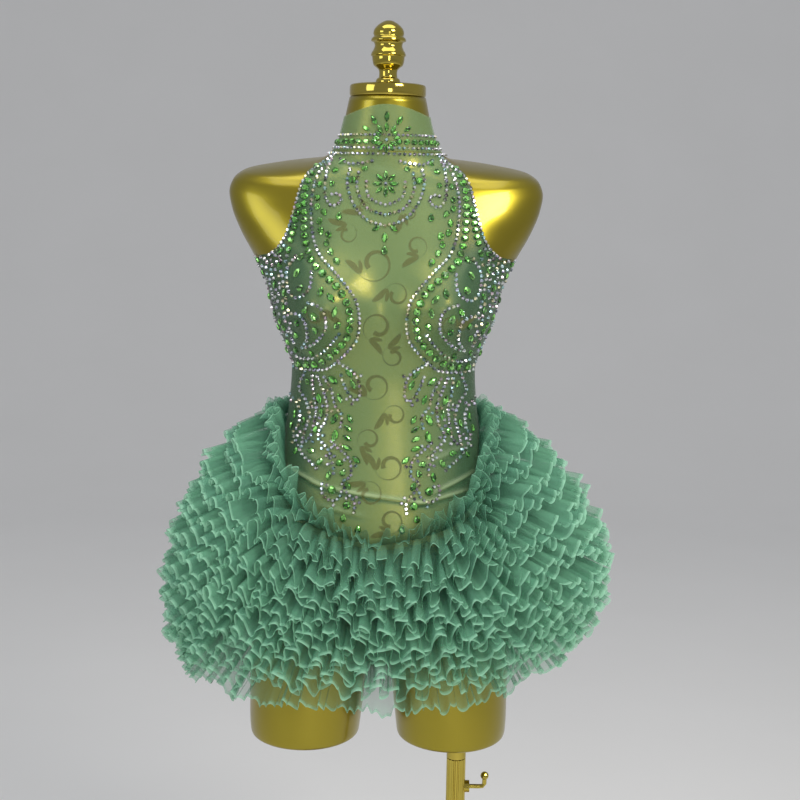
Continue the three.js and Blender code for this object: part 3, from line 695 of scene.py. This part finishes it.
# Marquises round a middle: radius from it, turns in degrees, length, width
BURST = [(9.5, range(0, 360, 45), 11.5, 5.2)]
ROSETTE = [(27, (90, 122, 58), 12, 6), (27, (150, 30), 10, 5), (15, (90, 60, 120), 11, 5.2),
           (12, (165, 15, 140, 40), 8.5, 4.6), (9, (200, 235, 270, 305, 340), 10, 5)]
# Rows round the collar: kind, height, size, pitch
COLLAR_ROWS = [("crystal", 1278.6, 4.4, 5.0), ("oval", 1271.0, 7.6, 8.6), ("crystal", 1264.0, 4.4, 5.0),
               ("crystal", 1257.2, 4.4, 5.0)]
# How far in the scatter at the side of the bust reaches, by height
SIDE_FILL = np.array([(1018, 92), (1035, 97), (1050, 100), (1068, 104), (1085, 106), (1104, 112), (1125, 114),
                      (1140, 108), (1152, 112)], float)
# How far off the form a stone's foot sits, and how much further on the collar
STONE_LIFT, COLLAR_EXTRA = 1.35, 0.25
ONE_CRYSTAL = 4.8
CRYSTAL_PITCH = 5.25
CRYSTAL_ROOM, OVAL_ROOM = 2.4, 3.8
# Strand fill: how far off a strand, under which height, how often, and how near the middle
FILL_STEP, FILL_TOP, FILL_SHARE, FILL_INNER = 5.2, 1008, 0.62, 24
# The neck's radius and where the tab's back and the rosette's front keep the collar rows away
NECK_RADIUS, PAST_TAB, PAST_ROSETTE = 50, 19, 14
CRYSTAL_TINTS = [(0.76, 0.74, 0.80), (0.70, 0.66, 0.84), (0.55, 0.80, 0.84), (0.84, 0.78, 0.48),
                 (0.82, 0.66, 0.74), (0.72, 0.75, 0.74), (0.58, 0.62, 0.76)]
# Painted glints and painted shade: the brightness a crystal's facet is given, picked at random
CRYSTAL_PAINTED_FACET_LIGHT = (0.15, 0.4, 0.65, 0.9, 1.1, 1.7)
GREEN_TINTS = [(0.10, 0.30, 0.05), (0.13, 0.36, 0.07), (0.07, 0.24, 0.04), (0.16, 0.40, 0.09)]
# Painted glints and painted shade: the brightness a green stone's facet is given, picked at random
GREEN_PAINTED_FACET_LIGHT = (0.15, 0.35, 0.65, 1.0, 1.4, 2.8)


def evenly(points, pitch):
    """Points a pitch apart along a smooth line, with the line's direction in degrees."""
    table = np.array(points, float)
    along = np.concatenate([[0], np.cumsum(np.linalg.norm(np.diff(table, axis=0), axis=1))])
    fine = curve_at(np.column_stack([along, table]), np.linspace(0, along[-1], 30 * len(table)))
    far = np.concatenate([[0], np.cumsum(np.linalg.norm(np.diff(fine, axis=0), axis=1))])
    at = np.linspace(0, far[-1], max(2, round(far[-1] / pitch) + 1))
    x, z = (np.interp(at, far, fine[:, k]) for k in (0, 1))
    turn = np.degrees(np.arctan2(np.gradient(z), np.gradient(x)))
    return np.column_stack([x, z, turn])


def front_stones():
    """Every stone on the front, as x, z, turn, kind, length and width."""
    stones = []
    for line in CRYSTAL_LINES:
        stones += [(x, z, turn, "crystal", ONE_CRYSTAL, ONE_CRYSTAL) for x, z, turn in
                   evenly(line, CRYSTAL_PITCH)]
    for kind, long, wide, pitch, line in GREEN_LINES:
        stones += [(x, z, turn, kind, long, wide) for x, z, turn in evenly(line, pitch)]
    stones += GREENS
    stones += side_fill(stones)
    stones += strand_fill(stones)
    stones += [(-x, z, 180 - turn, kind, long, wide) for x, z, turn, kind, long, wide in stones if x < -0.5]
    stones += MIDDLE_GREENS
    for middle_z, fan in ((1223, BURST), (1272, ROSETTE)):
        for radius, turns, long, wide in fan:
            stones += [(radius * math.cos(math.radians(t)), middle_z + radius * math.sin(math.radians(t)), t,
                        "marquise", long, wide) for t in turns]
    stones += [(0, 1223, 0, "crystal", 5, 5), (0, 1273, 0, "crystal", 5, 5)]
    return stones


def side_fill(stones):
    """A dense scatter of crystals and small green ovals down the side of the bust."""
    taken = [(x, z, (long + wide) / 4) for x, z, _, _, long, wide in stones]
    added = []
    for _ in range(2600):
        z = random.uniform(1016, 1152)
        inner = np.interp(z, SIDE_FILL[:, 0], SIDE_FILL[:, 1])
        outer = min(edge_of(z) - 2, curve_at(SECTIONS, z)[0] - 1)
        x = -random.uniform(inner, max(inner, outer))
        green = random.uniform() < 0.3
        size = OVAL_ROOM if green else CRYSTAL_ROOM
        if all((x - a) ** 2 + (z - b) ** 2 > (size + r) ** 2 * 0.92 for a, b, r in taken):
            taken.append((x, z, size))
            turn = random.uniform(40, 100)
            added.append((x, z, turn, "oval", 8.4, 6.4) if green
                         else (x, z, 0, "crystal", ONE_CRYSTAL, ONE_CRYSTAL))
    return added


def strand_fill(stones):
    """Loose crystals beside the strands below the bust, where there is room."""
    taken = [(x, z, (long + wide) / 4) for x, z, _, _, long, wide in stones]
    added = []
    for x, z, turn, kind, _, _ in stones:
        chance = random.uniform()
        way = math.radians(turn) + PI / 2 * random.choice([-1, 1])
        a, b = x + FILL_STEP * math.cos(way), z + FILL_STEP * math.sin(way)
        if kind != "crystal" or z > FILL_TOP or chance > FILL_SHARE:
            continue
        if -a > curve_at(SECTIONS, b)[0] - 2 or a > -FILL_INNER:
            continue
        if all((a - c) ** 2 + (b - d) ** 2 > (CRYSTAL_ROOM + r) ** 2 * 0.9 for c, d, r in taken):
            taken.append((a, b, CRYSTAL_ROOM))
            added.append((a, b, 0, "crystal", ONE_CRYSTAL, ONE_CRYSTAL))
    return added


def outline(kind):
    """A stone's outline, half a unit round."""
    if kind == "crystal":
        t = np.arange(8) * PI / 4
        return np.column_stack([np.cos(t), np.sin(t)]) / 2
    t = np.arange(10) * PI / 5
    x, y = np.cos(t), np.sin(t)
    if kind == "marquise":
        y = np.sign(y) * (1 - x * x) ** 0.85
    if kind == "pear":
        y = y * (1 - 0.38 * x)
    return np.column_stack([x, y]) / 2


def stone_mesh(kind, high):
    """Vertices and faces of one cut stone, its foot on its own plane."""
    ring = outline(kind)
    count = len(ring)
    levels = [(1, 0), (0.58, high)]
    if kind != "crystal":
        levels = [(1, 0), (1, 0.3 * high), (0.78, 0.72 * high), (0.46, high)]
    points = np.concatenate([np.column_stack([ring * size, np.full(count, h)]) for size, h in levels])
    faces = []
    for level in range(len(levels) - 1):
        low, top = level * count, (level + 1) * count
        faces += [(low + k, low + (k + 1) % count, top + (k + 1) % count, top + k) for k in range(count)]
    faces.append(tuple(range(count - 1, -1, -1)))
    faces.append(tuple(range((len(levels) - 1) * count, len(levels) * count)))
    return points, faces


def set_stones(name, stones, material, tints, painted_facet_light):
    """Joins stones, each as (place, normal, direction, kind, length, width), into one piece."""
    points, faces, colours, start = [], [], [], 0
    for place, normal, direction, kind, long, wide in stones:
        ahead = direction - normal * (direction @ normal)
        ahead /= np.linalg.norm(ahead)
        shape, sides = stone_mesh(kind, 0.42 * min(long, wide))
        side = np.cross(normal, ahead)
        points.append(place + np.outer(shape[:, 0] * long, ahead) + np.outer(shape[:, 1] * wide, side)
                      + np.outer(shape[:, 2], normal))
        tint = np.array(tints[random.integers(len(tints))])
        for face in sides:
            faces.append([start + k for k in face])
            # Each facet: the stone's tint times a painted brightness, a painted glint above one and painted
            # shade below it
            colours += [tint * painted_facet_light[random.integers(len(painted_facet_light))]] * len(face)
        start += len(shape)
    mesh = bpy.data.meshes.new(name)
    mesh.from_pydata((np.concatenate(points) * MM).tolist(), [], faces)
    rgba = np.column_stack([np.clip(np.array(colours), 0, 1), np.ones(len(colours))])
    tinted = mesh.attributes.new("tint", "FLOAT_COLOR", "CORNER")
    tinted.data.foreach_set("color", rgba.astype(np.float32).ravel())
    mesh.update()
    piece = bpy.data.objects.new(name, mesh)
    bpy.context.scene.collection.objects.link(piece)
    mesh.materials.append(material)
    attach(piece, DRESSED)


def stones():
    """Sets the stones on the front and round the collar, as two joined pieces."""
    table = front_stones()
    x, z, turn = (np.array([row[k] for row in table], float) for k in (0, 1, 2))
    angle, row = front_at(x, z)
    places = lifted(angle, row, STONE_LIFT + ridge(x, z, BELLY_FOLDS))
    normals = outward(angle, row)
    turn = np.radians(turn)
    ways = np.stack([np.cos(turn), 0 * turn, np.sin(turn)], -1)
    settled = [(places[k], normals[k], ways[k], *table[k][3:]) for k in range(len(table))]
    for kind, height, size, pitch in COLLAR_ROWS:
        count = round(2 * PI * NECK_RADIUS / pitch)
        angles = PI / 2 + 2 * PI * np.arange(count) / count
        away = np.abs((angles - PI / 2 + PI) % (2 * PI) - PI) * 48
        angles = angles[away > PAST_TAB]
        lift = STONE_LIFT + COLLAR_EXTRA
        rows = row_at(angles, np.full_like(angles, height))
        seats, facing = lifted(angles, rows, np.full_like(angles, lift)), outward(angles, rows)
        for k, a in enumerate(angles):
            if kind == "oval" and abs(seats[k][0]) < PAST_ROSETTE and seats[k][1] < 0:
                continue
            along = np.array([-math.sin(a), math.cos(a), 0])
            settled.append((seats[k], facing[k], along, kind, size, size * 0.86))
    clear = [s for s in settled if s[3] == "crystal"]
    green = [s for s in settled if s[3] != "crystal"]
    set_stones("crystals", clear, CRYSTAL, CRYSTAL_TINTS, CRYSTAL_PAINTED_FACET_LIGHT)
    set_stones("green_stones", green, GREEN, GREEN_TINTS, GREEN_PAINTED_FACET_LIGHT)


# The skirt

TIERS = np.array([
    # tier, seam height at the side and in front, then the hem's reach and height: left, right, front, back
    (0, 948, 814, 178, 926, 174, 934, 158, 800, 168, 926),
    (1, 916, 799, 211, 890, 210, 900, 180, 780, 204, 890),
    (2, 884, 784, 235, 848, 242, 858, 194, 760, 232, 848),
    (3, 852, 769, 252, 806, 268, 818, 203, 740, 252, 806),
    (4, 821, 754, 261, 765, 279, 779, 207, 719, 262, 765),
    (5, 790, 740, 263, 724, 274, 742, 210, 697, 264, 724),
    (6, 760, 726, 256, 684, 256, 706, 208, 674, 258, 686),
    (7, 732, 713, 238, 650, 232, 672, 200, 651, 240, 654),
])
DENT = dict(angle=math.radians(-38), width=0.13, depth=16)
SEAM_LIFT = 2.2
STRIPS = 16
COLUMNS, ROWS = 1200, 13
PLEATS_PER_WAVE = 2.55
# How fast a strip's waves open from its seam, and the cut's allowance over its plain depth
OPENING, DEPTH_SHARE = 0.55, 1.1


def wander(angle, count, size, seed):
    """A smooth, uneven swing round the skirt, of about count turns, the same each run."""
    source = np.random.default_rng(seed)
    total = np.zeros_like(angle)
    for k in range(1, 7):
        turns = max(1, round(count * (0.5 + 0.22 * k)))
        total += np.sin(turns * angle + source.uniform(0, 2 * PI)) * source.uniform(0.5, 1) / k ** 0.4
    return size * total / 2


def tier_at(index, angle):
    """A strip's tier. Strips lie evenly in front, and in pairs round the sides and the back."""
    last = index == STRIPS - 1
    even = 7 if last else 5.9 * index / (STRIPS - 2)
    paired = 7 if last else 6.7 * (index // 2 + 0.34 * (index % 2)) / 7
    return paired + (even - paired) * np.clip(-np.sin(angle), 0, 1) ** 1.5


def strip_lines(tier, angle):
    """A ruffle's seam on the body and its plain hem, at angles round the skirt."""
    row = curve_at(TIERS, tier)
    root_side, root_front, left, left_z, right, right_z, front, front_z, back, back_z = row.T
    c, s = np.cos(angle), np.sin(angle)
    rise = np.where(s < 0, 0.25 * np.abs(c) + 0.75 * np.abs(c) ** 5, 1)
    root = lifted(angle, root_front + (root_side - root_front) * rise, np.full_like(angle, SEAM_LIFT))
    away = (angle - DENT["angle"] + 3 * PI) % (2 * PI) - PI
    dent = DENT["depth"] * np.exp(-(away / DENT["width"]) ** 2 / 2)
    side_out, side_z = np.where(c < 0, left, right), np.where(c < 0, left_z, right_z)
    end_out, end_z = np.where(s < 0, front, back), np.where(s < 0, front_z, back_z)
    hem = np.stack([(side_out - dent) * c, (end_out - dent) * s, side_z * c * c + end_z * s * s], -1)
    return root, hem


# How high the heading stands in front, by the cosine of the angle from the side
HEADING_RISE = np.array([(0, 5), (0.12, 14), (0.3, 27), (0.5, 32), (0.66, 42), (0.8, 46), (0.95, 30),
                         (1, 14)])


def heading_lines(index, angle):
    """A short strip that stands up and out from the skirt's top seam, highest beside the belly."""
    root, _ = strip_lines(np.zeros_like(angle), angle)
    c, s = np.cos(angle), np.sin(angle)
    rise = np.where(s < 0, np.interp(np.abs(c), HEADING_RISE[:, 0], HEADING_RISE[:, 1]), 14)
    out = 15 + 9 * index
    hem = root + np.stack([out * c, out * s, rise * (1 - 0.35 * index)], -1)
    return root, hem


def gathered(name, lines, angle, index, waves, loose, material):
    """One gathered tulle strip: open meanders in front, fine pleats at the sides, the back and the hem."""
    root, hem = lines
    seed = 100 * index
    turn = angle - PI / 2
    front = np.clip(-np.sin(angle), 0, 1) ** 2 * loose
    # The strip's own directions: round the skirt, out of the sheet, and from seam to hem
    tangent = np.stack([-np.sin(angle), np.cos(angle), 0 * angle], -1)
    across = np.cross(hem - root, tangent)
    across /= np.linalg.norm(across, axis=1, keepdims=True)
    ahead = (hem - root) / np.linalg.norm(hem - root, axis=1, keepdims=True)
    # Open waves and fine pleats: where each stands along the strip, and how high it swings
    phase = waves * turn + wander(angle, 9, 2.2, seed)
    pleat = round(PLEATS_PER_WAVE * waves) * turn + wander(angle, 13, 2.0, seed + 1)
    high = (3.4 + 6.0 * front) * (1 + wander(angle, 19, 0.5, seed + 2))
    fine = (3.7 - 1.1 * front) * (1 + wander(angle, 29, 0.4, seed + 3))
    # How the hem leans in or out, how far it reaches, and how far its waves curl back under themselves
    lean = wander(angle, 21, 8.0, seed + 4) + wander(angle, 5, 5.0, seed + 9)
    reach = wander(angle, 11, 5.0, seed + 5) + wander(angle, 61, 3.2, seed + 6)
    curl = 0.3 + 0.62 * front + wander(angle, 13, 0.2, seed + 7)
    spread = np.hypot(hem[:, 0], hem[:, 1]) / waves
    share = np.linspace(0, 1, ROWS)[:, None]
    grow = share ** OPENING
    # The shape, from seam to hem: out of the sheet, sideways, and along its depth
    late = phase + share * wander(angle, 15, 0.9, seed + 8)
    swing = grow * (np.sin(late) * high + np.sin(pleat + 1.2 * share) * fine) + share ** 1.5 * lean
    slide = grow * (-curl * spread * np.sin(2 * late) + 0.35 * fine * np.cos(pleat * 0.5 + 3 * share))
    stretch = share * reach + 1.6 * share ** 2 * np.cos(pleat + 1)
    points = (root * (1 - share[..., None]) + hem * share[..., None] + across * swing[..., None]
              + tangent * slide[..., None] + ahead * stretch[..., None])
    points[..., 2] += 5 * loose * np.sin(PI * share)
    piece = grid_piece(name, points, material, values={"share": np.broadcast_to(share, swing.shape)})
    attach(piece, DRESSED)
    depth = float(np.linalg.norm(hem - root, axis=1).mean())
    return piece


def skirt():
    """Two standing strips at the top seam and sixteen hanging ones, in place of the eight CAD ruffles, which
    it hides.
    """
    # Each tulle's first colour is its painted shade at the seam, its second its lit tone at the hem
    tulles = [sage_tulle("sage_tulle", (0.05, 0.19, 0.11), (0.19, 0.47, 0.30)),
              sage_tulle("sage_tulle_cool", (0.045, 0.175, 0.11), (0.17, 0.44, 0.29))]
    angle = PI / 2 + np.linspace(0, 2 * PI, COLUMNS + 1)
    for index in range(2):
        gathered(f"heading_{index + 1}", heading_lines(index, angle), angle, 40 + index, 52, 0.6,
                 tulles[index])
    for index in range(STRIPS):
        lines = strip_lines(tier_at(index, angle), angle)
        loose = 1 if index < STRIPS - 1 else 0.15
        gathered(f"tulle_{index + 1}", lines, angle, index, 58 + (index * 5) % 9, loose,
                               tulles[index % 2])
    for node in range(8):
        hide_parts(f"ruffle_{node + 1}")


# Stage, light and camera

def stage():
    """A wide pale floor that curves up into a pale wall, well behind the form."""
    reach, back, bend, rise = 7.0, 7.0, 3.5, 6.0
    profile = [(-reach, 0), (back - bend, 0)]
    profile += [(back - bend + bend * math.sin(t), bend - bend * math.cos(t))
                for t in np.linspace(0.05, PI / 2, 32)]
    profile += [(back, rise)]
    points = np.array([[(x, y, z) for x in (-reach, reach)] for y, z in profile]) / MM
    g = Graph("pale_stage")
    g.set(base_color=g.mix(g.noise(2), (0.82, 0.815, 0.80), (0.86, 0.855, 0.845)), roughness=0.7)
    grid_piece("stage", points, g.material)


def lamp(name, place, target, size, power, colour):
    """A soft rectangular lamp at a place, turned to its target."""
    light = bpy.data.lights.new(name, "AREA")
    light.shape = "RECTANGLE"
    light.size, light.size_y = size
    light.energy = power
    light.color = colour
    lamp_object = bpy.data.objects.new(name, light)
    lamp_object.location = place
    lamp_object.rotation_euler = (Vector(target) - Vector(place)).to_track_quat("-Z", "Y").to_euler()
    bpy.context.scene.collection.objects.link(lamp_object)


def lights():
    """Soft studio light: four lamps and a pale surround."""
    lamp("key", (1.5, -2.0, 2.7), (0, 0, 1.0), (1.0, 0.8), 46, (1.0, 0.97, 0.92))
    lamp("fill", (-2.2, -1.6, 1.7), (0, 0, 0.9), (1.2, 1.6), 16, (0.93, 0.97, 1.0))
    lamp("belly", (0.35, -2.6, 1.0), (0, 0, 0.92), (0.5, 0.9), 9, (1.0, 0.98, 0.94))
    lamp("top", (0.0, -0.4, 3.0), (0, 0.1, 0.8), (2.0, 1.2), 20, (1.0, 0.99, 0.97))
    world = bpy.data.worlds.new("soft")
    world.use_nodes = True
    sky = world.node_tree.nodes["Background"]
    sky.inputs["Color"].default_value = (0.93, 0.95, 1.0, 1)
    sky.inputs["Strength"].default_value = 0.42
    bpy.context.scene.world = world
    bpy.context.scene.view_settings.view_transform = "Standard"


def camera():
    """The photograph's view, from in front, looking down a little, with a slight roll."""
    pitch, roll = math.radians(8), math.radians(1)
    distance, aim = 1.680, Vector((0.0204, 0, 0.968))
    focal = 1.75  # lens length for a sensor one unit wide
    cam = bpy.data.cameras.new("camera")
    cam.sensor_width = 36
    cam.lens = cam.sensor_width * focal
    cam.clip_start = 0.05
    eye = bpy.data.objects.new("camera", cam)
    place = aim + Vector((0, -distance * math.cos(pitch), distance * math.sin(pitch)))
    eye.matrix_world = (Matrix.Translation(place) @ Matrix.Rotation(PI / 2 - pitch, 4, "X")
                        @ Matrix.Rotation(roll, 4, "Z"))
    bpy.context.scene.collection.objects.link(eye)
    bpy.context.scene.camera = eye
    # A sight line can cross dozens of sheer layers in the skirt
    bpy.context.scene.cycles.transparent_max_bounces = 40


dress_form()
fittings()
panel("front_mesh", -PI, 0.0, 180, "front_panel")
panel("back_left_mesh", PI / 2 + 0.002, PI, 60, "back_left")
panel("back_right_mesh", 0.0, PI / 2 - 0.002, 60, "back_right")
collar()
stones()
skirt()
stage()
lights()
camera()
